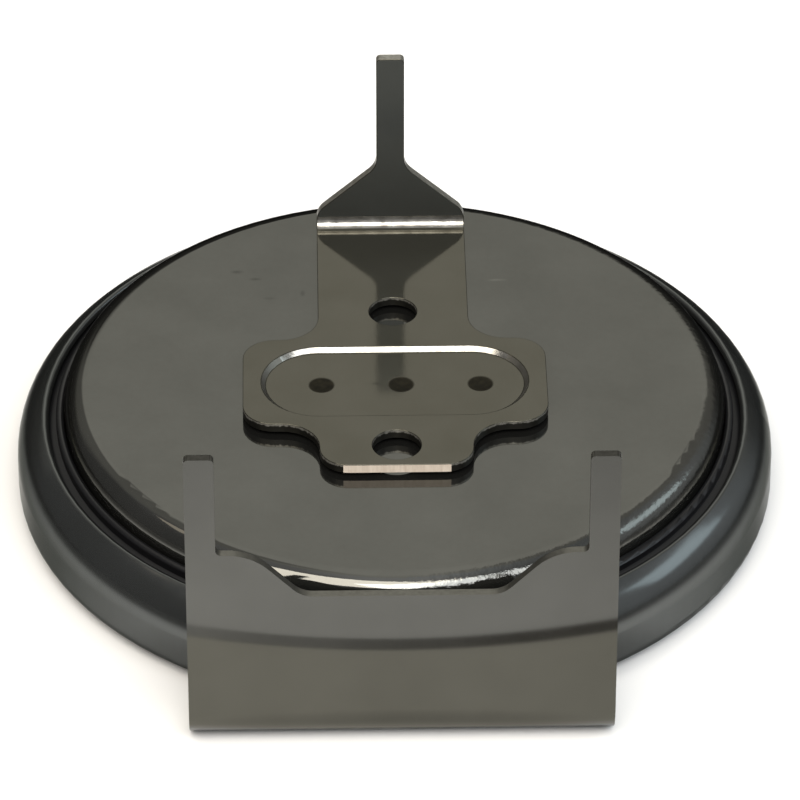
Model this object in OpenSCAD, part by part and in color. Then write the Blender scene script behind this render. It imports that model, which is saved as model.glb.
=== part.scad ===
// Lithium coin cell with two welded sheet tabs that end in three flat pins for a circuit board.
// The origin is on the cell's axis, at the underside of the positive tab. +Z points up, out of the
// negative cap. The positive tab is folded up on the -Y side, and the negative pin stands on the +Y side.

/* [Cell] */
// Outer diameter of the can
cell_d = 20; // [19.5:0.1:21]
// Height of the closed cell, without its tabs
cell_h = 3.2; // [3:0.1:4.2]

/* [Can] */
// Thickness of the can's sheet
can_t = 0.25; // [0.2:0.01:0.3]
// Outer radius of the corner between the can's floor and wall
can_corner_r = 0.45; // [0.35:0.05:0.8]
// Outer radius of the shoulder where the rim is rolled in over the seal
crimp_r = 1.25; // [1.1:0.05:1.35]
// How far the crest of the rolled shoulder would lie below the cap's face
crimp_drop = 0.75; // [0.65:0.05:0.9]
// Angle through which the rim is rolled in
crimp_angle = 62; // [56:1:68]

/* [Cap] */
// Width of the groove between the cap's wall and the rolled edge of the can
groove_w = 0.43; // [0.36:0.01:0.6]
// Thickness of the cap's sheet
cap_t = 0.25; // [0.2:0.01:0.3]
// Outer radius of the cap's edge
cap_edge_r = 0.6; // [0.4:0.05:0.65]
// Inside radius of the corner between the cap's wall and the skirt that spreads under the rim
cap_root_r = 0.15; // [0.08:0.01:0.2]

/* [Gasket] */
// Thickness of the gasket between the can and the cap's skirt
gasket_t = 0.3; // [0.25:0.01:0.35]
// Thickness of the neck that stands up round the cap
neck_t = 0.22; // [0.16:0.01:0.26]
// How far the neck's top lies below the cap's face
neck_drop = 0.75; // [0.65:0.01:0.85]
// How far the gasket's foot reaches inwards under the skirt
foot_w = 0.8; // [0.7:0.05:0.95]
// Clearance between the gasket and the metal
seal_gap = 0.01; // [0.005:0.005:0.02]

/* [Inner stack] */
// Clearance between the lithium disc and the cap's wall
lithium_gap = 0.57; // [0.45:0.01:1]
// Thickness of the lithium disc
lithium_t = 0.6; // [0.4:0.05:0.8]
// Thickness of the separator
separator_t = 0.15; // [0.1:0.01:0.25]
// Height of the separator's skirt round the pellet
separator_skirt = 0.7; // [0.4:0.05:0.9]
// Clearance between the cathode pellet and the gasket's foot
pellet_gap = 1.2; // [1:0.05:1.6]
// Thickness of the steel ring under the pellet
ring_t = 0.12; // [0.08:0.01:0.15]
// Height of the ring's wall
ring_h = 0.8; // [0.5:0.05:0.85]
// Width of the ring's foot under the pellet
ring_foot = 1; // [0.6:0.1:1.6]
// Clearance round the parts of the stack
stack_gap = 0.05; // [0.02:0.01:0.08]

/* [Tab sheet] */
// Thickness of the sheet that both tabs are blanked from
tab_t = 0.25; // [0.2:0.01:0.3]
// Width of each tab's strap
strap_w = 4; // [3.6:0.1:4.3]
// Width of each weld pad across its wings
pad_w = 8; // [7.7:0.1:9]
// Length of the wings, along the strap
wing_l = 3.76; // [3.6:0.02:3.88]
// How far the nose reaches from the row of welds
nose_reach = 3.7; // [3.65:0.05:4.2]
// Radius of the wings' outer corners
wing_corner_r = 0.82; // [0.5:0.02:0.98]
// Radius of the corners between wing and strap
wing_root_r = 1; // [0.7:0.05:1.05]
// Radius of the nose's corners
nose_corner_r = 0.75; // [0.5:0.05:0.8]

/* [Welds] */
// Diameter of a weld spot
weld_d = 0.74; // [0.5:0.02:0.9]
// Depth of a weld spot
weld_sink = 0.06; // [0.03:0.01:0.08]
// Distance between neighbouring weld spots
weld_pitch = 2.09; // [1.8:0.01:2.3]
// How far the row of welds lies to the right of the negative tab's middle
weld_shift = 0.16; // [0:0.01:0.25]

/* [Negative tab] */
// Height at which the strap runs above the cap
strap_lift = 0.13; // [0.1:0.01:0.15]
// How far the row of welds lies in front of the cell's axis
neg_weld_y = 0.47; // [0.2:0.01:0.8]
// Length of the oblong recess that is pressed down onto the cap
recess_l = 7.06; // [6.8:0.02:7.3]
// Width of the recess
recess_w = 3.09; // [2.9:0.01:3.2]
// Diameter of the two tooling holes
hole_d = 1.28; // [1:0.02:1.3]
// Distance from the welds to the hole in the strap
hole_back = 3.13; // [2.9:0.01:3.4]
// Distance from the welds to the hole in the nose
hole_front = 2.83; // [2.7:0.01:2.9]
// Inside radius of the negative tab's fold
neg_fold_r = 0.3; // [0.2:0.05:0.4]
// Height above the strap at which the upright starts to narrow
flare_start = 0.44; // [0.3:0.01:0.6]
// Height over which the upright narrows to the pin
flare_h = 1.46; // [1.3:0.01:1.6]
// Radius of the corners where the upright starts and ends its taper
flare_r = 0.6; // [0.3:0.05:0.65]

/* [Positive tab] */
// Clearance between the can's wall and the upright plate
plate_gap = 0.85; // [0.75:0.05:1.2]
// Inside radius of the positive tab's fold
pos_fold_r = 1.1; // [0.95:0.05:1.3]
// How far the wide part of the sheet reaches in under the can
heel_l = 0.9; // [0.7:0.05:1.4]
// Radius of the heel's outer corners
heel_corner_r = 0.5; // [0.3:0.05:0.6]
// Depth of the dip in the plate's top edge, below the board's seat
dip_h = 1.3; // [1.1:0.05:1.5]
// Width of the dip at its bottom
dip_bottom_w = 5; // [4.4:0.1:5.2]
// Width of the dip at its top
dip_top_w = 7.5; // [7.2:0.1:7.8]
// Radius of the corners at the dip's bottom
dip_r = 0.7; // [0.4:0.05:0.8]
// Radius of the crests beside the dip
dip_crest_r = 1.4; // [0.6:0.1:1.5]
// How far the positive tab's row of welds lies in front of the cell's axis
pos_weld_y = 1.2; // [0.8:0.1:2]

/* [Pins] */
// Width of a pin
pin_w = 0.75; // [0.6:0.01:0.9]
// Distance between the two positive pins
pin_pitch = 10; // [9.9:0.02:10.3]
// Distance between the positive row and the negative pin
row_pitch = 17.8; // [17.6:0.1:18.2]
// Height of the board's seat above the cap's face
seat_h = 2.8; // [2.7:0.05:3.2]
// Length of the pins above the seat
pin_l = 2.95; // [2.5:0.05:4]
// Radius of the corners at the pins' tips
tip_r = 0.12; // [0.05:0.01:0.2]
// Radius of the inner corner at the foot of a positive pin
pin_root_r = 0.15; // [0.1:0.01:0.25]

/* [Hidden] */
$fn = 128;
// Number of straight steps in each rounded corner of an outline
corner_steps = 8;
// How far a cutting shape reaches past what it cuts
past = 1;

// Levels, from the underside of the positive tab
can_z = tab_t;
cap_z = can_z + cell_h;
neg_strap_z = cap_z + strap_lift;
seat_z = cap_z + seat_h;
tip_z = seat_z + pin_l;

// The rolled rim, the gasket and the cap's skirt are bent round one centre
can_r = cell_d / 2;
roll_r = can_r - crimp_r;
rim_r = roll_r + (crimp_r - can_t / 2) * cos(crimp_angle) - can_t / 2;
cap_r = rim_r - groove_w;
roll_z = cap_z - crimp_drop - crimp_r;
skirt_bend_r = crimp_r - can_t - gasket_t;
skirt_r = roll_r + skirt_bend_r;
foot_z = can_z + can_t + gasket_t;
foot_r = skirt_r + gasket_t / 2 - foot_w;

// The stack between the can's floor and the cap
stack_z = can_z + can_t;
pellet_z = stack_z + ring_t;
lithium_z = cap_z - cap_t - lithium_t;
separator_z = lithium_z - separator_t;
pellet_r = foot_r - pellet_gap;
lithium_r = cap_r - cap_t - lithium_gap;

// Places of the two tabs
pos_face_y = -can_r - plate_gap - tab_t;
neg_pin_y = pos_face_y + tab_t / 2 + row_pitch;
plate_w = pin_pitch + pin_w;
pos_bend_out = pos_fold_r + tab_t;

// Rounded outlines: each point is [x, y, corner radius]
function direction(v) = v / norm(v);
function corner(a, b, c, r) =
    let (
        u = direction(a - b),
        v = direction(c - b),
        half = acos(u * v) / 2,
        start = b + u * r / tan(half),
        end = b + v * r / tan(half),
        middle = b + direction(u + v) * r / sin(half),
        from = atan2(start.y - middle.y, start.x - middle.x),
        to = atan2(end.y - middle.y, end.x - middle.x),
        turn = (to - from + 540) % 360 - 180
    )
    [for (i = [0:corner_steps]) middle + r * [cos(from + turn * i / corner_steps), sin(from + turn * i / corner_steps)]];
function flat(p) = [p.x, p.y];
function rounded(points) =
    let (n = len(points))
    [for (i = [0:n - 1])
        let (
            before = flat(points[(i + n - 1) % n]),
            here = flat(points[i]),
            after = flat(points[(i + 1) % n])
        )
        each points[i][2] > 0 ? corner(before, here, after, points[i][2]) : [here]];
function mirrored(points) = [for (i = [len(points) - 1:-1:0]) [-points[i].x, points[i].y, points[i][2]]];
function both_sides(points) = rounded(concat(points, mirrored(points)));

// One half of a tab's blank, from the strap's end to the nose, with the row of welds on the X axis
function pad_half(strap_l) = [
    [strap_w / 2, strap_l, 0],
    [strap_w / 2, wing_l / 2, wing_root_r],
    [pad_w / 2, wing_l / 2, wing_corner_r],
    [pad_w / 2, -wing_l / 2, wing_corner_r],
    [strap_w / 2, -wing_l / 2, wing_root_r],
    [strap_w / 2, -nose_reach, nose_corner_r],
];

// Solid of revolution's half section: a block with its outer bottom corner rounded
module cup_block(r, low, high, corner_r) {
    translate([0, low + corner_r]) square([r, high - low - corner_r]);
    translate([0, low]) square([r - corner_r, corner_r]);
    translate([r - corner_r, low + corner_r]) circle(corner_r);
}

// The same with its outer top corner rounded
module dome_block(r, low, high, corner_r) {
    translate([0, high]) mirror([0, 1]) cup_block(r, 0, high - low, corner_r);
}

// Half plane on the outer side of the axis, so that a revolved section never crosses it
module outer_side() {
    translate([0, -past]) square([can_r + past, tip_z + 2 * past]);
}

// Sector of the roll, from level up to the given angle
module roll_sector(r, angle) {
    reach = r + past;
    intersection() {
        circle(r);
        polygon([[0, 0], [reach, 0], [reach, reach], [reach * cos(angle), reach * sin(angle)]]);
    }
}

// Half section of the drawn can with its rim rolled in and its edge left round
module can_section() {
    difference() {
        cup_block(can_r, can_z, roll_z, can_corner_r);
        cup_block(can_r - can_t, can_z + can_t, roll_z + past, can_corner_r - can_t);
    }
    translate([roll_r, roll_z]) {
        difference() {
            roll_sector(crimp_r, crimp_angle);
            circle(crimp_r - can_t);
        }
        rotate(crimp_angle) translate([crimp_r - can_t / 2, 0]) circle(can_t / 2);
    }
}

// Outer or inner outline of the cap: a crown on a wider skirt
module cap_outline(inset, low) {
    crown_r = cap_r - inset;
    shoulder_z = roll_z + skirt_bend_r - inset;
    dome_block(crown_r, low, cap_z - inset, cap_edge_r - inset);
    dome_block(skirt_r - inset, low, shoulder_z, skirt_bend_r - inset);
}

// Fillet between the cap's wall and the shoulder of its skirt
module cap_root() {
    translate([cap_r, roll_z + skirt_bend_r])
        difference() {
            translate([-cap_t / 2, -cap_t / 2]) square(cap_t / 2 + cap_root_r);
            translate([cap_root_r, cap_root_r]) circle(cap_root_r);
        }
}

// Half section of the cap, its skirt ending in a round edge on the gasket's foot
module cap_section() {
    edge_r = cap_t / 2;
    skirt_z = foot_z + seal_gap + edge_r;
    difference() {
        cap_outline(0, skirt_z);
        cap_outline(cap_t, skirt_z - past);
    }
    translate([skirt_r - edge_r, skirt_z]) circle(edge_r);
    cap_root();
}

// Half section of the gasket: foot, wall, bend over the skirt and neck round the cap
module gasket_section() {
    outer_r = can_r - can_t - seal_gap;
    bend_r = crimp_r - can_t - seal_gap;
    low = can_z + can_t + seal_gap;
    neck_r = cap_r + seal_gap;
    corner_r = can_corner_r - can_t + seal_gap;
    lip_r = neck_t / 2;
    lip_z = cap_z - neck_drop - lip_r;
    difference() {
        union() {
            difference() {
                cup_block(outer_r, low, roll_z, corner_r);
                square([foot_r, roll_z]);
            }
            intersection() {
                translate([roll_r, roll_z]) circle(bend_r);
                translate([neck_r, roll_z]) square([outer_r, bend_r]);
            }
            translate([neck_r, roll_z]) square([neck_t, lip_z - roll_z]);
            translate([neck_r + lip_r, lip_z]) circle(lip_r);
        }
        translate([0, foot_z]) square([skirt_r + seal_gap, roll_z - foot_z]);
        translate([roll_r, roll_z]) circle(skirt_bend_r + seal_gap);
        square([neck_r, roll_z + skirt_bend_r + seal_gap]);
        translate([cap_r, roll_z + skirt_bend_r - cap_t / 2])
            square([cap_root_r + seal_gap, cap_t / 2 + cap_root_r + seal_gap]);
    }
}

module positive_can() {
    color([0.44, 0.45, 0.44]) rotate_extrude() intersection() {
        can_section();
        outer_side();
    }
}

module negative_cap() {
    color([0.40, 0.40, 0.37]) rotate_extrude() intersection() {
        cap_section();
        outer_side();
    }
}

module gasket() {
    color([0.09, 0.09, 0.10]) rotate_extrude() gasket_section();
}

// Thin steel ring of L section that holds the pellet's lower edge
module cathode_ring() {
    outer_r = pellet_r + stack_gap + ring_t;
    color([0.62, 0.62, 0.62]) difference() {
        translate([0, 0, stack_z]) cylinder(r = outer_r, h = ring_h);
        translate([0, 0, pellet_z]) cylinder(r = outer_r - ring_t, h = ring_h);
        translate([0, 0, stack_z - past]) cylinder(r = outer_r - ring_foot, h = past + ring_t + past);
    }
}

// Pressed disc, stepped at its foot where the ring reaches under it
module cathode_pellet() {
    color([0.13, 0.13, 0.13]) {
        translate([0, 0, pellet_z]) cylinder(r = pellet_r, h = separator_z - pellet_z);
        translate([0, 0, stack_z])
            cylinder(r = pellet_r + ring_t - ring_foot, h = pellet_z - stack_z);
    }
}

// Non-woven cup turned down over the pellet
module separator() {
    skirt_in = pellet_r + stack_gap + ring_t + stack_gap;
    color([0.93, 0.93, 0.90]) difference() {
        translate([0, 0, separator_z - separator_skirt])
            cylinder(r = skirt_in + separator_t, h = separator_skirt + separator_t);
        translate([0, 0, separator_z - separator_skirt - past])
            cylinder(r = skirt_in, h = separator_skirt + past);
    }
}

module lithium_anode() {
    color([0.78, 0.79, 0.80]) translate([0, 0, lithium_z]) cylinder(r = lithium_r, h = lithium_t);
}

// Folded sheet along X: a quarter turn from level, going towards +Y, then upright to the given height
module folded_sheet(width, inside_r, height) {
    outside_r = inside_r + tab_t;
    translate([-width / 2, 0, outside_r]) rotate([90, 0, 90]) linear_extrude(width) {
        difference() {
            intersection() {
                circle(outside_r);
                translate([0, -outside_r]) square(outside_r);
            }
            circle(inside_r);
        }
        translate([inside_r, 0]) square([tab_t, height - outside_r]);
    }
}

// Oblong form with sloping sides, as wide as given at its top and narrower by its depth below
module oblong(length, width, depth) {
    r = width / 2;
    run = length / 2 - r;
    translate([0, 0, -depth]) {
        for (side = [-1, 1]) translate([side * run, 0, 0]) cylinder(r1 = r - depth, r2 = r, h = depth);
        translate([-run, 0, 0]) rotate([90, 0, 90]) linear_extrude(2 * run)
            polygon([[-r + depth, 0], [r - depth, 0], [r, depth], [-r, depth]]);
    }
}

// Three shallow round spots, cut into a face at z = 0 from above
module weld_spots(shift) {
    ball_r = (weld_d * weld_d / 4 + weld_sink * weld_sink) / (2 * weld_sink);
    for (i = [-1:1]) translate([shift + i * weld_pitch, 0, ball_r - weld_sink]) sphere(ball_r);
}

// Fold and upright of the negative tab: they taper from the strap's width to one pin
module negative_upright(fold_y) {
    flare_z = neg_strap_z + tab_t + flare_start;
    half = [
        [strap_w / 2, neg_strap_z - past, 0],
        [strap_w / 2, flare_z, flare_r],
        [pin_w / 2, flare_z + flare_h, flare_r],
        [pin_w / 2, tip_z, tip_r],
    ];
    intersection() {
        translate([0, fold_y, neg_strap_z]) folded_sheet(strap_w, neg_fold_r, tip_z - neg_strap_z);
        translate([0, neg_pin_y + past, 0]) rotate([90, 0, 0]) linear_extrude(row_pitch)
            polygon(both_sides(half));
    }
}

module negative_tab() {
    fold_y = neg_pin_y - tab_t / 2 - neg_fold_r;
    top = neg_strap_z + tab_t;
    color([0.41, 0.39, 0.34]) {
        translate([0, -neg_weld_y, 0]) difference() {
            union() {
                translate([0, 0, neg_strap_z]) linear_extrude(tab_t)
                    polygon(both_sides(pad_half(fold_y + neg_weld_y)));
                translate([0, 0, neg_strap_z]) oblong(recess_l, recess_w, strap_lift);
            }
            translate([0, 0, top]) oblong(recess_l, recess_w, strap_lift);
            translate([0, 0, top - strap_lift]) weld_spots(weld_shift);
            for (y = [hole_back, -hole_front])
                translate([0, y, neg_strap_z - past]) cylinder(d = hole_d, h = tab_t + 2 * past);
        }
        negative_upright(fold_y);
    }
}

// Fold and upright plate of the positive tab, with a dip between its two pins
module positive_upright() {
    inner = plate_w / 2 - pin_w;
    half = [
        [plate_w / 2, -past, 0],
        [plate_w / 2, tip_z, tip_r],
        [inner, tip_z, tip_r],
        [inner, seat_z, pin_root_r],
        [dip_top_w / 2, seat_z, dip_crest_r],
        [dip_bottom_w / 2, seat_z - dip_h, dip_r],
    ];
    intersection() {
        translate([0, pos_face_y + pos_bend_out, 0]) mirror([0, 1, 0]) folded_sheet(plate_w, pos_fold_r, tip_z);
        translate([0, pos_face_y + row_pitch, 0]) rotate([90, 0, 0]) linear_extrude(row_pitch + past)
            polygon(both_sides(half));
    }
}

// Flat part under the can: a wide heel at the fold, the strap and the welded pad
module positive_foot() {
    heel_y = pos_face_y + pos_bend_out;
    strap_l = -heel_y - pos_weld_y;
    half = concat(
        [
            [plate_w / 2, strap_l, 0],
            [plate_w / 2, strap_l - heel_l, heel_corner_r],
            [strap_w / 2, strap_l - heel_l, wing_root_r],
        ],
        [for (i = [1:len(pad_half(0)) - 1]) pad_half(0)[i]]
    );
    translate([0, -pos_weld_y, 0]) mirror([0, 1, 0]) difference() {
        linear_extrude(tab_t) polygon(both_sides(half));
        mirror([0, 0, 1]) weld_spots(0);
    }
}

module positive_tab() {
    color([0.42, 0.42, 0.39]) {
        positive_foot();
        positive_upright();
    }
}

positive_can();
negative_cap();
gasket();
cathode_ring();
cathode_pellet();
separator();
lithium_anode();
negative_tab();
positive_tab();
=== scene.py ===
"""Looks of a lithium coin cell with two welded solder tabs: materials, edges, light and camera."""
import math

import bmesh
import bpy
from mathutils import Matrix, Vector


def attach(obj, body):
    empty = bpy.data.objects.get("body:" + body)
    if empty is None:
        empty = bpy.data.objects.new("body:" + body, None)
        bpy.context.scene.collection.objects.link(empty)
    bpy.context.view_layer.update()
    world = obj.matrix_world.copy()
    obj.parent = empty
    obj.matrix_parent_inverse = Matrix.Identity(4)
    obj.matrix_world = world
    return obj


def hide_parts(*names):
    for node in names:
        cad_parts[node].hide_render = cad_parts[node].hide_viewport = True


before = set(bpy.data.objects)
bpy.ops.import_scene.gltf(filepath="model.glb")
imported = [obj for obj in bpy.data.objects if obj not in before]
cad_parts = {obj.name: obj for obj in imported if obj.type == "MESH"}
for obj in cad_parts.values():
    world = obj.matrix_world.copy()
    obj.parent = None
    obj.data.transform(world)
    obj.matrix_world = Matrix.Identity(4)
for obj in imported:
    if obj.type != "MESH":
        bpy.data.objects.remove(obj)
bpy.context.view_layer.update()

MM = 0.001

# Sizes of the CAD model that looks depend on, in millimetres
TAB_T = 0.25
STRAP_TOP = 3.83
NEG_FOLD_R = 0.3
NEG_FOLD_Y = 6.4
NOSE_Y = -4.17
HOLE_ROWS = (2.66, -3.30)
HOLE_R = 0.64
WELD_R = 0.37
NEG_WELDS = ((-1.93, -0.47), (0.16, -0.47), (2.25, -0.47))
POS_WELDS = ((-2.09, -1.2), (0.0, -1.2), (2.09, -1.2))
PLATE_Y = -11.1
PIN_TOP = 9.2

# Blanked edges: the punch's rounding, the turn that makes a corner, and how wide a flat face is at least
PUNCH_R = 0.02
CREASE = math.radians(28)
FLAT_W = 0.2


# Colours and nodes -------------------------------------------------------------------------------


def srgb(code):
    """Linear colour of an sRGB hex value."""
    channels = [int(code[i : i + 2], 16) / 255 for i in (0, 2, 4)]
    return (*(c / 12.92 if c <= 0.04045 else ((c + 0.055) / 1.055) ** 2.4 for c in channels), 1.0)


def add_node(tree, kind, settings=None, links=None):
    """One node, with its settings (properties, or sockets by name or number) and what feeds it."""
    node = tree.nodes.new(kind)
    for key, value in (settings or {}).items():
        if isinstance(key, int) or key in node.inputs:
            node.inputs[key].default_value = value
        else:
            setattr(node, key, value)
    for key, source in (links or {}).items():
        tree.links.new(source, node.inputs[key])
    return node


def new_material(name):
    """An empty material with its shader, its output and a point in millimetres."""
    material = bpy.data.materials.new(name)
    material.use_nodes = True
    tree = material.node_tree
    tree.nodes.clear()
    place = add_node(tree, "ShaderNodeTexCoord")
    point = add_node(tree, "ShaderNodeVectorMath", {"operation": "SCALE", "Scale": 1 / MM}, {0: place.outputs["Object"]})
    shader = add_node(tree, "ShaderNodeBsdfPrincipled")
    add_node(tree, "ShaderNodeOutputMaterial", links={"Surface": shader.outputs["BSDF"]})
    return material, tree, shader, point.outputs["Vector"]


def two_tones(tree, source, light, dark, low=0.3, high=0.7):
    """A colour that runs from dark to light as its source runs from low to high."""
    tone = add_node(tree, "ShaderNodeValToRGB", links={"Fac": source})
    for stop, place, code in zip(tone.color_ramp.elements, (low, high), (dark, light)):
        stop.position, stop.color = place, srgb(code)
    return tone.outputs["Color"]


def scaled(tree, source, low, high, to_low, to_high, kind="LINEAR"):
    """A value carried from one range to another, and kept inside it."""
    limits = {"interpolation_type": kind, "From Min": low, "From Max": high, "To Min": to_low, "To Max": to_high}
    return add_node(tree, "ShaderNodeMapRange", limits, {"Value": source}).outputs["Result"]


# Materials ---------------------------------------------------------------------------------------


def worked_steel(name, light, dark, roughness, blotch_mm, grain=(1, 1, 1), relief=0.0, haze=0.9, edge_tint="ffffff"):
    """Nickel-plated steel: its tone drifts softly between two colours, and its gloss with it.

    A fine grain runs along the way the metal was rolled or drawn. A little of the shader is left
    non-metallic, which stands for the thin haze that handling leaves on plated steel.
    """
    material, tree, shader, point = new_material(name)
    cloud = add_node(tree, "ShaderNodeTexNoise", {"Scale": 1 / blotch_mm, "Detail": 3.0, "Roughness": 0.55}, {"Vector": point})
    drawn_out = add_node(tree, "ShaderNodeVectorMath", {"operation": "MULTIPLY", 1: grain}, {0: point})
    fine = add_node(
        tree, "ShaderNodeTexNoise", {"Scale": 6.0, "Detail": 4.0, "Roughness": 0.6}, {"Vector": drawn_out.outputs["Vector"]}
    )
    both = add_node(tree, "ShaderNodeMix", {"data_type": "FLOAT", 0: 0.25}, {2: cloud.outputs["Fac"], 3: fine.outputs["Fac"]})
    tree.links.new(two_tones(tree, both.outputs[0], light, dark), shader.inputs["Base Color"])
    gloss = scaled(tree, both.outputs[0], 0.3, 0.7, roughness * 0.85, roughness * 1.2)
    tree.links.new(gloss, shader.inputs["Roughness"])
    shader.inputs["Metallic"].default_value = haze
    shader.inputs["Specular Tint"].default_value = srgb(edge_tint)
    if relief:
        bump = add_node(tree, "ShaderNodeBump", {"Strength": relief, "Distance": 0.01 * MM}, {"Height": fine.outputs["Fac"]})
        tree.links.new(bump.outputs["Normal"], shader.inputs["Normal"])
    return material


def burn_welds(material, welds):
    """Resistance welds: the steel is annealed dark and dull in a round spot at each of them."""
    tree = material.node_tree
    shader = tree.nodes["Principled BSDF"]
    place = add_node(tree, "ShaderNodeTexCoord")
    flat = add_node(tree, "ShaderNodeVectorMath", {"operation": "MULTIPLY", 1: (1 / MM, 1 / MM, 0)}, {0: place.outputs["Object"]})
    spot = None
    for x, y in welds:
        away = add_node(tree, "ShaderNodeVectorMath", {"operation": "DISTANCE", 1: (x, y, 0)}, {0: flat.outputs["Vector"]})
        near = scaled(tree, away.outputs["Value"], WELD_R * 0.8, WELD_R, 1, 0, "SMOOTHSTEP")
        spot = near if spot is None else add_node(tree, "ShaderNodeMath", {"operation": "MAXIMUM"}, {0: spot, 1: near}).outputs[0]
    speck = add_node(tree, "ShaderNodeTexNoise", {"Scale": 7.0, "Detail": 3.0}, {"Vector": flat.outputs["Vector"]})
    burnt = two_tones(tree, speck.outputs["Fac"], "302d23", "1e1c16")
    for socket, kind, first, burnt_to in (("Base Color", "RGBA", 6, burnt), ("Roughness", "FLOAT", 2, None)):
        mixed = add_node(tree, "ShaderNodeMix", {"data_type": kind}, {0: spot, first: shader.inputs[socket].links[0].from_socket})
        if burnt_to is None:
            mixed.inputs[first + 1].default_value = 0.5
        else:
            tree.links.new(burnt_to, mixed.inputs[first + 1])
        tree.links.new(mixed.outputs[first // 2 - 1 if kind == "RGBA" else 0], shader.inputs[socket])
    return material


def painted_upright_shade(material):
    """Painted shade on the hot-dipped tinned upright: its colour is scaled darker from the pin's tip down to the bend.
    """
    tree = material.node_tree
    shader = tree.nodes["Principled BSDF"]
    place = add_node(tree, "ShaderNodeTexCoord")
    height = add_node(tree, "ShaderNodeSeparateXYZ", links={0: place.outputs["Object"]})
    # Painted shade: half the colour at the bend, a little over all of it at the tip
    shade_by_height = scaled(tree, height.outputs["Z"], 4.4 * MM, 8.6 * MM, 0.5, 1.05)
    top_colour = shader.inputs["Base Color"].links[0].from_socket
    shaded_colour = add_node(tree, "ShaderNodeVectorMath", {"operation": "SCALE"}, {0: top_colour, "Scale": shade_by_height})
    tree.links.new(shaded_colour.outputs["Vector"], shader.inputs["Base Color"])
    return material


def handled_cap(material):
    """Handling marks of the cap: a few faint smudges and short rubs, and a scuffed front right edge."""
    tree = material.node_tree
    shader = tree.nodes["Principled BSDF"]
    place = add_node(tree, "ShaderNodeTexCoord")
    point = add_node(tree, "ShaderNodeVectorMath", {"operation": "SCALE", "Scale": 1 / MM}, {0: place.outputs["Object"]}).outputs[0]
    colour = shader.inputs["Base Color"].links[0].from_socket
    # Centre, stretch along x and y, and tone: dark smudges at the rear left, a pale rub at the rear right
    marks = (
        ((-4.2, 5.1), (3, 7), 0.72),
        ((-3.65, 4.75), (3, 9), 0.72),
        ((-3.3, 3.85), (3, 10), 0.85),
        ((-2.4, 4.05), (9, 4), 0.8),
        ((2.8, 4.6), (2.2, 12), 1.3),
    )
    for (x, y), (along, across), tone in marks:
        away = add_node(tree, "ShaderNodeVectorMath", {"operation": "SUBTRACT", 1: (x, y, 0)}, {0: point})
        shaped = add_node(tree, "ShaderNodeVectorMath", {"operation": "MULTIPLY", 1: (along, across, 0)}, {0: away.outputs["Vector"]})
        torn = add_node(tree, "ShaderNodeTexNoise", {"Scale": 2.0, "Detail": 3.0}, {"Vector": point})
        reach = add_node(tree, "ShaderNodeVectorMath", {"operation": "LENGTH"}, {0: shaped.outputs["Vector"]})
        ragged = add_node(tree, "ShaderNodeMath", {"operation": "ADD"}, {0: reach.outputs["Value"], 1: torn.outputs["Fac"]})
        strength = scaled(tree, ragged.outputs[0], 0.6, 1.3, tone, 1.0, "SMOOTHSTEP")
        colour = add_node(tree, "ShaderNodeVectorMath", {"operation": "SCALE"}, {0: colour, "Scale": strength}).outputs["Vector"]
    tree.links.new(colour, shader.inputs["Base Color"])
    flat = add_node(tree, "ShaderNodeVectorMath", {"operation": "MULTIPLY", 1: (1, 1, 0)}, {0: point})
    radius = add_node(tree, "ShaderNodeVectorMath", {"operation": "LENGTH"}, {0: flat.outputs["Vector"]})
    at_edge = scaled(tree, radius.outputs["Value"], 8.1, 8.3, 0, 1)
    across = add_node(tree, "ShaderNodeSeparateXYZ", links={0: point})
    right = scaled(tree, across.outputs["X"], -0.6, 1.2, 0.06, 1)
    scuff = add_node(tree, "ShaderNodeTexNoise", {"Scale": 5.0, "Detail": 4.0, "Roughness": 0.6}, {"Vector": point})
    height = scuff.outputs["Fac"]
    for mask in (at_edge, right):
        height = add_node(tree, "ShaderNodeMath", {"operation": "MULTIPLY"}, {0: height, 1: mask}).outputs[0]
    bump = add_node(tree, "ShaderNodeBump", {"Strength": 0.6, "Distance": 0.02 * MM}, {"Height": height})
    tree.links.new(bump.outputs["Normal"], shader.inputs["Normal"])
    return material


def sheared_edge(name, light, dark, roughness, metallic, burnished_above=None):
    """The cut face of blanked sheet: rougher than the rolled face, with the punch's upright scoring.

    Below the given height it is the dull fracture, where the strip tore after the bright cut; its near-black tone there
    is also painted shade.
    """
    material, tree, shader, point = new_material(name)
    upright = add_node(tree, "ShaderNodeVectorMath", {"operation": "MULTIPLY", 1: (9, 9, 1.5)}, {0: point})
    scoring = add_node(tree, "ShaderNodeTexNoise", {"Scale": 1.0, "Detail": 4.0, "Roughness": 0.6}, {"Vector": upright.outputs["Vector"]})
    tone = two_tones(tree, scoring.outputs["Fac"], light, dark)
    if burnished_above:
        height = add_node(tree, "ShaderNodeSeparateXYZ", links={0: point})
        ragged = scaled(tree, scoring.outputs["Fac"], 0.3, 0.7, -0.03, 0.03)
        level = add_node(tree, "ShaderNodeMath", {"operation": "ADD"}, {0: height.outputs["Z"], 1: ragged})
        bright = scaled(tree, level.outputs[0], burnished_above - 0.015, burnished_above + 0.015, 0, 1)
        # Fracture below the bright band: dull steel made near black, partly painted shade
        tone = add_node(tree, "ShaderNodeMix", {"data_type": "RGBA", 6: srgb("24231f")}, {0: bright, 7: tone}).outputs[2]
    tree.links.new(tone, shader.inputs["Base Color"])
    bump = add_node(tree, "ShaderNodeBump", {"Strength": 0.4, "Distance": 0.01 * MM}, {"Height": scoring.outputs["Fac"]})
    tree.links.new(bump.outputs["Normal"], shader.inputs["Normal"])
    shader.inputs["Roughness"].default_value = roughness
    shader.inputs["Metallic"].default_value = metallic
    return material


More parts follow.
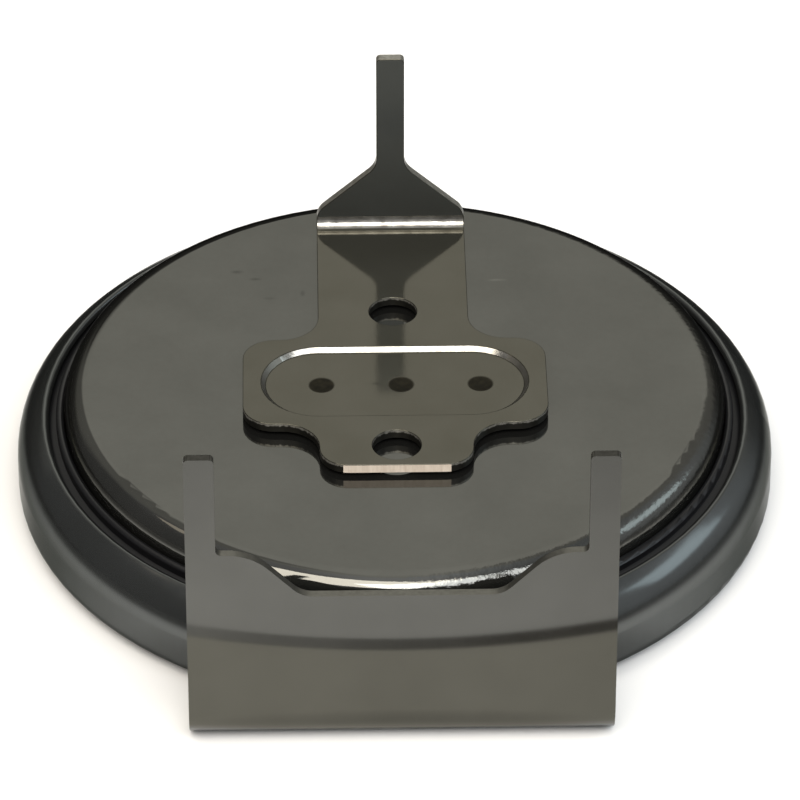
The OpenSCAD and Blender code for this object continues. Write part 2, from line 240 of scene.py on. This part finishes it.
def moulded_polypropylene():
    """Injection-moulded polypropylene, black: a waxy gloss that draws thin lines in the groove."""
    material, tree, shader, point = new_material("moulded_black_polypropylene")
    grain = add_node(tree, "ShaderNodeTexNoise", {"Scale": 8.0, "Detail": 2.0}, {"Vector": point})
    tree.links.new(scaled(tree, grain.outputs["Fac"], 0, 1, 0.25, 0.4), shader.inputs["Roughness"])
    shader.inputs["Base Color"].default_value = srgb("101012")
    shader.inputs["IOR"].default_value = 1.49
    return material


def pressed_grain(name, light, dark, grain_mm, roughness, relief, metallic=0.0):
    """Pressed powder, cloth or soft metal: a fine grain of two tones with its own relief."""
    material, tree, shader, point = new_material(name)
    grain = add_node(tree, "ShaderNodeTexNoise", {"Scale": 1 / grain_mm, "Detail": 5.0, "Roughness": 0.65}, {"Vector": point})
    tree.links.new(two_tones(tree, grain.outputs["Fac"], light, dark, 0.35, 0.65), shader.inputs["Base Color"])
    bump = add_node(tree, "ShaderNodeBump", {"Strength": relief, "Distance": 0.02 * MM}, {"Height": grain.outputs["Fac"]})
    tree.links.new(bump.outputs["Normal"], shader.inputs["Normal"])
    shader.inputs["Roughness"].default_value = roughness
    shader.inputs["Metallic"].default_value = metallic
    return material


drawn_can = worked_steel("drawn_nickel_plated_steel", "626464", "5a5c5b", 0.16, 3.0, (1, 1, 0.15), 0.03, 0.9, "9a9b99")
polished_cap = handled_cap(worked_steel("polished_cap_steel", "6a6a67", "62625f", 0.06, 2.5, haze=0.95, edge_tint="4c4c4a"))
blanked_strip = burn_welds(worked_steel("blanked_bright_strip", "59574f", "514f46", 0.08, 2.0, (6, 0.4, 1), 0.03, 0.88), NEG_WELDS)
blanked_plate = burn_welds(worked_steel("blanked_bright_plate", "656562", "5f5f5c", 0.06, 2.0, (6, 0.4, 0.4), 0.03, 0.88), POS_WELDS)
plated_edge = sheared_edge("plated_sheared_edge", "a3a19a", "77756e", 0.35, 0.7, STRAP_TOP - 0.07)
pale_edge = sheared_edge("pale_sheared_edge", "706f69", "605f59", 0.3, 0.85)
# The pins' flat ends: sheared steel made darker than the other cut faces as painted shade
pin_tip_painted_shade = sheared_edge("sheared_pin_tip_painted_shade", "4c4b47", "3c3b37", 0.35, 0.9)
# The cut-off end: bare steel's pinkish tone, made pale, matte and not metallic as a painted highlight for its glint
bare_edge_painted_glint = sheared_edge("bare_cut_off_edge_painted_glint", "e4d7c8", "cdbeae", 0.6, 0.0)
# Bend and the recess's rear wall facing the camera: brighter steel, a painted highlight
press_line_painted_highlight = worked_steel("press_line_painted_highlight_steel", "b4b2ac", "6f6c66", 0.18, 0.35, (1, 3, 3), 0.25)
pressed_wall = worked_steel("pressed_wall_steel", "76746e", "66645e", 0.4, 1.0)
# The upright's steel, with painted shade that darkens it towards the bend
tinned_upright = painted_upright_shade(worked_steel("tinned_upright_steel", "606362", "595c5b", 0.3, 1.5, (6, 0.4, 0.4), 0.05, 0.72))
pressed_ring = worked_steel("pressed_ring_steel", "a2a2a2", "969696", 0.22, 2.0)
black_gasket = moulded_polypropylene()
cathode_mix = pressed_grain("pressed_manganese_dioxide", "2a2a2a", "1c1c1c", 0.15, 0.85, 0.5)
separator_cloth = pressed_grain("nonwoven_separator", "efefe9", "dcdcd4", 0.12, 0.95, 0.6)
lithium_foil = pressed_grain("rolled_lithium", "c6c9cc", "b4b7ba", 0.8, 0.4, 0.2, 0.9)


# Pieces ------------------------------------------------------------------------------------------


def dress(node, material):
    """Gives a CAD node's slots one material."""
    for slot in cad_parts[node].material_slots:
        slot.material = material


def corner_normal(corner, flats):
    """A face corner's normal: a flat's own, that of the flat it runs into, or a mean over the curve."""
    face = corner.face
    if face in flats:
        return face.normal.copy()
    fan, waiting = {face}, [face]
    while waiting:
        here = waiting.pop()
        for edge in corner.vert.link_edges:
            if edge.smooth and here in edge.link_faces:
                reached = set(edge.link_faces) - fan
                fan |= reached
                waiting.extend(reached)
    joined = [other for other in fan if other in flats and other.normal.angle(face.normal) < math.radians(50)]
    if joined:
        return max(joined, key=lambda other: other.calc_area()).normal.copy()
    mean = Vector()
    for other in fan:
        mean += other.normal * other.calc_area()
    return mean.normalized()


def blanked_sheet(node, name, materials, punched_side, cut_off, finish=lambda normal, centre: 0):
    """A blanked tab with its punched edges rounded, made from the node's own mesh after merging it.

    The punch rounds the edges of the side that it enters and leaves those of the other side sharp.
    Faces on neither side are sheared edges. The piece's first three materials are the rolled face's,
    the sheared edge's and that of the cut-off end, and finish gives the number of any other for a
    rolled face. Flat faces keep one flat normal, so they mirror truly.
    """
    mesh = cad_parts[node].data.copy()
    mesh.name = name
    mesh.materials.clear()
    for material in materials:
        mesh.materials.append(material)
    form = bmesh.new()
    form.from_mesh(mesh)
    bmesh.ops.remove_doubles(form, verts=form.verts, dist=0.0005 * MM)
    bmesh.ops.dissolve_limit(form, angle_limit=math.radians(1.0), verts=form.verts, edges=form.edges)
    form.normal_update()
    punched = set()
    for face in form.faces:
        centre = face.calc_center_median() / MM
        if punched_side(face.normal, centre):
            punched.add(face)
        sheared = face not in punched and not punched_side(-face.normal, centre)
        face.material_index = (2 if cut_off(face.normal, centre) else 1) if sheared else finish(face.normal, centre)
    corners = [edge for edge in form.edges if edge.calc_face_angle(0) > CREASE and punched & set(edge.link_faces)]
    rounding = bmesh.ops.bevel(
        form, geom=corners, offset=PUNCH_R * MM, segments=2, profile=0.5, affect="EDGES", material=-1, clamp_overlap=True
    )
    rounded = set(rounding["faces"])
    form.normal_update()
    for face in form.faces:
        face.smooth = True
        if face in rounded:
            face.material_index = 0
    for edge in form.edges:
        edge.smooth = edge.calc_face_angle(0) < CREASE or rounded.issuperset(edge.link_faces)
    flats = {face for face in form.faces if 2 * face.calc_area() / face.calc_perimeter() > FLAT_W * MM}
    normals = [corner_normal(corner, flats) for face in form.faces for corner in face.loops]
    form.to_mesh(mesh)
    form.free()
    mesh.normals_split_custom_set(normals)
    piece = bpy.data.objects.new(name, mesh)
    bpy.context.scene.collection.objects.link(piece)
    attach(piece, "root")
    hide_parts(node)
    return piece


def negative_punched(normal, centre):
    """The strap's and pad's upper side, the inner side of the fold, and the upright's front."""
    level = centre.z < STRAP_TOP + NEG_FOLD_R and normal.z > 0.6
    upright = centre.y > NEG_FOLD_Y and normal.y < -0.6
    return level or upright


def positive_punched(normal, centre):
    """The plate's rear, the inner side of its fold, and the foot's upper side."""
    return normal.y > 0.6 and centre.y < PLATE_Y + 2 or normal.z > 0.6 and centre.z < TAB_T + 1


def nose_end(normal, centre):
    """The straight end of the nose, where the blank was cut from its strip after plating."""
    return normal.y < -0.99 and centre.y < NOSE_Y + 0.05


def strip_finish(normal, centre):
    """Bend and rear wall of the recess, in a brighter steel that is a painted highlight (3), its other walls (4), and
    the tinned upright (5).
    """
    if centre.y > NEG_FOLD_Y:
        return 5 if centre.z > STRAP_TOP + NEG_FOLD_R - 0.01 else 3 if normal.z < 0.93 else 0
    by_weld = min(math.dist(centre.xy, weld) for weld in NEG_WELDS) < WELD_R + 0.15
    if abs(normal.z) > 0.97 or by_weld:
        return 0
    return 3 if normal.y < -0.5 else 4


def pin_end(normal, centre):
    """The flat ends of the pins."""
    return normal.z > 0.9 and centre.z > PIN_TOP - 0.1


dress("positive_can", drawn_can)
dress("negative_cap", polished_cap)
dress("gasket", black_gasket)
dress("cathode_ring", pressed_ring)
dress("cathode_pellet", cathode_mix)
dress("separator", separator_cloth)
dress("lithium_anode", lithium_foil)
dress("negative_tab", blanked_strip)
dress("positive_tab", blanked_plate)
negative_tab = blanked_sheet(
    "negative_tab",
    "negative_solder_tab",
    (blanked_strip, plated_edge, bare_edge_painted_glint, press_line_painted_highlight, pressed_wall, tinned_upright),
    negative_punched,
    nose_end,
    strip_finish,
)
positive_tab = blanked_sheet(
    "positive_tab", "positive_solder_tab", (blanked_plate, pale_edge, pin_tip_painted_shade), positive_punched, pin_end
)


# Studio ------------------------------------------------------------------------------------------


def table_paper():
    """White paper. For metal it carries painted reflections: a pale brown patch in front of the plate inside a dark
    rounded arc, and painted shade that darkens the table near the cell and far from it.
    """
    material, tree, shader, point = new_material("white_table_paper")
    arc_r, arc_y = 22.0, PLATE_Y - 4.3 - 22.0
    away = add_node(tree, "ShaderNodeVectorMath", {"operation": "DISTANCE", 1: (0, arc_y, 0)}, {0: point})
    past_arc = add_node(tree, "ShaderNodeMath", {"operation": "SUBTRACT", 1: arc_r}, {0: away.outputs["Value"]})
    painted_tan = scaled(tree, past_arc.outputs[0], 0.1, 0.3, 0, 1, "SMOOTHSTEP")
    painted_tan_end = scaled(tree, past_arc.outputs[0], 4.8, 5.4, 1, 0, "SMOOTHSTEP")
    off_arc = add_node(tree, "ShaderNodeMath", {"operation": "ABSOLUTE"}, {0: past_arc.outputs[0]})
    across = add_node(tree, "ShaderNodeSeparateXYZ", links={0: point})
    arc_depth = scaled(tree, across.outputs["X"], -6, 3, 0.45, 1)
    sharp_arc = scaled(tree, off_arc.outputs[0], 0.2, 0.28, 1, 0, "SMOOTHSTEP")
    painted_dark_arc = add_node(tree, "ShaderNodeMath", {"operation": "MULTIPLY"}, {0: arc_depth, 1: sharp_arc}).outputs[0]
    off_middle = add_node(tree, "ShaderNodeMath", {"operation": "ABSOLUTE"}, {0: across.outputs["X"]})
    in_front = scaled(tree, off_middle.outputs[0], 6.5, 8.5, 1, 0, "SMOOTHSTEP")
    from_axis = add_node(tree, "ShaderNodeVectorMath", {"operation": "LENGTH"}, {0: point})
    # Painted shade, seen only in metal: the table's tone at each distance from the axis in millimetres, beside the cell
    # and before the plate
    reach = 40
    beside = ((10, 0.85), (11.2, 0.92), (12.5, 1.0), (14, 0.85), (18, 0.27), (24, 0.12))
    before = ((11.2, 0.6), (12.6, 0.9), (18, 0.9), (23, 0.72), (36, 0.15))
    tones = []
    for stops in (beside, before):
        part = add_node(tree, "ShaderNodeMath", {"operation": "DIVIDE", 1: reach}, {0: from_axis.outputs["Value"]})
        ramp = add_node(tree, "ShaderNodeValToRGB", links={"Fac": part.outputs[0]})
        places = ramp.color_ramp.elements
        while len(places) < len(stops):
            places.new(0.5)
        for stop, (distance, tone) in zip(places, stops):
            stop.position, stop.color = distance / reach, (tone, tone, tone, 1)
        tones.append(ramp.outputs["Color"])
    # Painted shade: darker to the rear beside the cell, and to the right before it
    for number, (side, start, end, last) in enumerate((("Y", 4, 8, 0.15), ("X", -2, 7, 0.84))):
        lean = scaled(tree, across.outputs[side], start, end, 1, last)
        tones[number] = add_node(tree, "ShaderNodeVectorMath", {"operation": "SCALE"}, {0: tones[number], "Scale": lean}).outputs["Vector"]
    painted_shade = add_node(tree, "ShaderNodeMix", {"data_type": "RGBA"}, {0: in_front, 6: tones[0], 7: tones[1]}).outputs[2]
    colour = None
    # Painted reflection: the pale brown patch and its dark arc before the plate
    for mask, second, code in ((painted_tan, painted_tan_end, "e2dfd3"), (painted_dark_arc, None, "3e3a31")):
        factor = add_node(tree, "ShaderNodeMath", {"operation": "MULTIPLY"}, {0: in_front, 1: mask}).outputs[0]
        if second is not None:
            factor = add_node(tree, "ShaderNodeMath", {"operation": "MULTIPLY"}, {0: factor, 1: second}).outputs[0]
        layer = add_node(tree, "ShaderNodeMix", {"data_type": "RGBA", 6: srgb("f6f6f6"), 7: srgb(code)}, {0: factor})
        if colour is not None:
            tree.links.new(colour, layer.inputs[6])
        colour = layer.outputs[2]
    painted_reflection = add_node(tree, "ShaderNodeMix", {"data_type": "RGBA", "blend_type": "MULTIPLY", 0: 1.0}, {6: colour, 7: painted_shade})
    rays = add_node(tree, "ShaderNodeLightPath")
    # Glossy rays see the painted reflection and shade, all other rays an even white
    seen = add_node(tree, "ShaderNodeMix", {"data_type": "RGBA", 6: srgb("fafafa")}, {0: rays.outputs["Is Glossy Ray"], 7: painted_reflection.outputs[2]})
    tree.links.new(seen.outputs[2], shader.inputs["Base Color"])
    shader.inputs["Roughness"].default_value = 0.9
    shader.inputs["Specular IOR Level"].default_value = 0.1
    return material


def studio_floor():
    """A table top that looks plain white and keeps the cell's soft shadow; metal mirrors painted reflections and shade
    on it.
    """
    sheet = bmesh.new()
    bmesh.ops.create_grid(sheet, x_segments=1, y_segments=1, size=1.0)
    bmesh.ops.translate(sheet, verts=sheet.verts, vec=(0, 0, -0.005 * MM))
    mesh = bpy.data.meshes.new("table_top")
    sheet.to_mesh(mesh)
    sheet.free()
    floor = bpy.data.objects.new("table_top", mesh)
    bpy.context.scene.collection.objects.link(floor)
    floor.data.materials.append(table_paper())
    return floor


def soft_box(name, azimuth, elevation, width, height, radiance, code):
    """A rectangular lamp that faces the cell from half a metre. Azimuth 0 is the camera's side, 90 the right."""
    lamp = bpy.data.lights.new(name, "AREA")
    lamp.shape, lamp.size, lamp.size_y = "RECTANGLE", width, height
    lamp.energy = radiance * math.pi * width * height
    lamp.color = srgb(code)[:3]
    box = bpy.data.objects.new(name, lamp)
    a, e = math.radians(azimuth), math.radians(elevation)
    away = Vector((math.sin(a) * math.cos(e), -math.cos(a) * math.cos(e), math.sin(e)))
    box.location = away * 0.5
    box.rotation_mode = "QUATERNION"
    box.rotation_quaternion = away.to_track_quat("Z", "Y")
    box.visible_camera = False
    bpy.context.scene.collection.objects.link(box)
    return box


def studio_surroundings():
    """Room light by direction: a pale wall behind, a soft glow in front, and dark low down and at the sides."""
    world = bpy.data.worlds.new("studio_room")
    world.use_nodes = True
    tree = world.node_tree
    tree.nodes.clear()
    place = add_node(tree, "ShaderNodeTexCoord")
    way = add_node(tree, "ShaderNodeSeparateXYZ", links={0: place.outputs["Generated"]})
    level = add_node(tree, "ShaderNodeVectorMath", {"operation": "MULTIPLY", 1: (1, 1, 0)}, {0: place.outputs["Generated"]})
    heading = add_node(tree, "ShaderNodeVectorMath", {"operation": "NORMALIZE"}, {0: level.outputs["Vector"]})
    bearing = add_node(tree, "ShaderNodeSeparateXYZ", links={0: heading.outputs["Vector"]})
    # Tint, and radiance at each elevation in degrees, at the sides, behind and in front
    sides = ((1, 1, 1), ((0, 0.12), (40, 0.14), (55, 0.24), (75, 0.5), (90, 0.85)))
    quarters = ((1, 0.985, 0.9), ((0, 0.04), (14, 0.08), (22, 0.35), (65, 0.4), (90, 0.85)))
    behind = ((1, 0.985, 0.9), ((0, 0.03), (26, 0.05), (31.5, 1.0), (75, 1.0), (90, 0.85)))
    front = ((1, 1, 1), ((0, 0.4), (30, 0.45), (58, 0.5), (70, 0.6), (78, 0.85), (90, 0.85)))
    ramps = []
    right = ((0.95, 1, 1.03), ((0, 0.3), (10, 0.46), (45, 0.5), (60, 0.3), (75, 0.5), (90, 0.85)))
    for tint, stops in (sides, quarters, front, right, behind):
        ramp = add_node(tree, "ShaderNodeValToRGB", links={"Fac": way.outputs["Z"]})
        places = ramp.color_ramp.elements
        while len(places) < len(stops):
            places.new(0.5)
        for stop, (elevation, radiance) in zip(places, stops):
            stop.position = math.sin(math.radians(elevation))
            stop.color = (*[radiance * channel for channel in tint], 1)
        ramps.append(ramp.outputs["Color"])
    to_back = scaled(tree, bearing.outputs["Y"], 0.55, 0.8, 0, 1, "SMOOTHSTEP")
    to_middle = scaled(tree, bearing.outputs["Y"], 0.93, 0.97, 0, 1, "SMOOTHSTEP")
    to_front = scaled(tree, bearing.outputs["Y"], -0.85, -0.6, 1, 0, "SMOOTHSTEP")
    to_right = scaled(tree, bearing.outputs["X"], 0.2, 0.7, 0, 1, "SMOOTHSTEP")
    beside = add_node(tree, "ShaderNodeMix", {"data_type": "RGBA"}, {0: to_right, 6: ramps[0], 7: ramps[3]})
    rear = add_node(tree, "ShaderNodeMix", {"data_type": "RGBA"}, {0: to_back, 6: beside.outputs[2], 7: ramps[1]})
    rear = add_node(tree, "ShaderNodeMix", {"data_type": "RGBA"}, {0: to_middle, 6: rear.outputs[2], 7: ramps[4]})
    whole = add_node(tree, "ShaderNodeMix", {"data_type": "RGBA"}, {0: to_front, 6: rear.outputs[2], 7: ramps[2]})
    light = add_node(tree, "ShaderNodeBackground", {"Strength": 1.0}, {"Color": whole.outputs[2]})
    add_node(tree, "ShaderNodeOutputWorld", links={"Surface": light.outputs["Background"]})
    bpy.context.scene.world = world


def photo_camera():
    """The photograph's view: 36.5 degrees above the table, from 170 mm, a degree to the left."""
    azimuth, elevation = math.radians(-0.98), math.radians(36.49)
    back = Vector((math.sin(azimuth) * math.cos(elevation), -math.cos(azimuth) * math.cos(elevation), math.sin(elevation)))
    right = Vector((math.cos(azimuth), math.sin(azimuth), 0))
    up = back.cross(right)
    middle = Vector((0, 0, 1.85))
    centre = middle + 0.143 * right + 0.801 * up
    camera = bpy.data.cameras.new("photo_camera")
    camera.sensor_width, camera.lens = 36, 288.36
    camera.clip_start, camera.clip_end = 0.005, 5
    eye = bpy.data.objects.new("photo_camera", camera)
    bpy.context.scene.collection.objects.link(eye)
    eye.location = (middle + 170 * back) * MM
    eye.rotation_mode = "QUATERNION"
    eye.rotation_quaternion = (eye.location - centre * MM).to_track_quat("Z", "Y")
    bpy.context.scene.camera = eye


studio_floor()
soft_box("warm_window", -23.5, 55.5, 0.44, 0.295, 5.3, "fff7ea")
soft_box("pale_window", 23.5, 49.5, 0.44, 0.2, 4.8, "fbfdff")
soft_box("cool_window", 96, 32, 0.26, 0.16, 1.8, "e4f7ff")
soft_box("warm_panel", -110, 55, 0.10, 0.08, 1.1, "fff0d8")
studio_surroundings()
photo_camera()
bpy.context.scene.view_settings.view_transform = "Standard"
